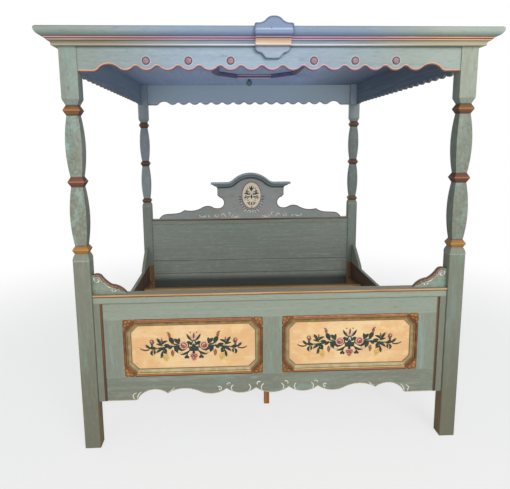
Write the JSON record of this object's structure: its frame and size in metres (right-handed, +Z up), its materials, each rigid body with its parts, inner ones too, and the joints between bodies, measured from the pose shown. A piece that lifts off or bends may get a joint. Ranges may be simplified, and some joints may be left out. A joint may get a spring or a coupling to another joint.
{
  "type": "canopy bed",
  "caption": "Painted wooden canopy bed with square-cut baluster posts, a panelled footboard, an arched headboard crest and a moulded canopy with scalloped valances.",
  "frame": {"origin": "on the floor, in the middle of the outer box", "axes": "+Z up, +Y from the foot end to the head end, +X to the right seen from the foot end"},
  "size_m": [2.054, 2.302, 2.05],
  "materials": {
    "green_paint": "grey-green milk paint, rubbed at the edges",
    "blue_paint": "grey-blue milk paint, rubbed at the edges",
    "cream_paint": "cream ground with painted flowers",
    "red_paint": "dull red, gold and olive bands",
    "gilt_paint": "gold-coloured paint",
    "rose_paint": "rose paint with a dark rim",
    "bare_wood": "bare softwood",
    "steel": "zinc-plated"
  },
  "bodies": {
    "bedstead": {"base_screws": "steel", "canopy_ceiling": "blue_paint", "canopy_ceiling_frame": "blue_paint", "canopy_knob": "blue_paint", "cartouche_crest": "blue_paint", "cartouche_drop": "blue_paint", "cartouche_moulding": "blue_paint", "cornice_foot": "blue_paint", "cornice_left": "blue_paint", "cornice_packing": "blue_paint", "cornice_right": "blue_paint", "foot_apron": "green_paint", "foot_bracket_left": "green_paint", "foot_bracket_right": "green_paint", "foot_cap": "green_paint", "foot_corner_blocks": "gilt_paint", "foot_edge_left": "green_paint", "foot_edge_right": "green_paint", "foot_moulding_left": "red_paint", "foot_moulding_right": "red_paint", "foot_muntin": "green_paint", "foot_panel_left": "cream_paint", "foot_panel_right": "cream_paint", "foot_stile_left": "green_paint", "foot_stile_right": "green_paint", "foot_top_rail": "green_paint", "head_cap": "green_paint", "head_crest": "green_paint", "head_hood": "green_paint", "head_plank_low": "green_paint", "head_plank_mid": "green_paint", "head_plank_top": "green_paint", "joint_dowels": "bare_wood", "ledger_left": "bare_wood", "ledger_right": "bare_wood", "post_lower_foot_left": "green_paint", "post_lower_foot_right": "green_paint", "post_lower_head_left": "green_paint", "post_lower_head_right": "green_paint", "post_slot_plates": "steel", "post_upper_foot_left": "green_paint", "post_upper_foot_right": "green_paint", "post_upper_head_left": "green_paint", "post_upper_head_right": "green_paint", "rail_hook_plates": "steel", "rail_left": "green_paint", "rail_right": "green_paint", "rail_wing_left": "green_paint", "rail_wing_right": "green_paint", "valance_foot": "blue_paint", "valance_head": "blue_paint", "valance_left": "blue_paint", "valance_right": "blue_paint", "valance_rosettes": "rose_paint"},
    "cross_slat_1": {"slat_1": "bare_wood", "slat_leg_1": "bare_wood"},
    "cross_slat_2": {"slat_2": "bare_wood", "slat_leg_2": "bare_wood"},
    "cross_slat_3": {"slat_3": "bare_wood", "slat_leg_3": "bare_wood"}
  },
  "joints": [
    {"name": "slat_1_lift", "type": "slide", "parent": "bedstead", "child": "cross_slat_1", "axis": [0, 0, 1], "range_m": [0, 0.3]},
    {"name": "slat_2_lift", "type": "slide", "parent": "bedstead", "child": "cross_slat_2", "axis": [0, 0, 1], "range_m": [0, 0.3]},
    {"name": "slat_3_lift", "type": "slide", "parent": "bedstead", "child": "cross_slat_3", "axis": [0, 0, 1], "range_m": [0, 0.3]}
  ]
}
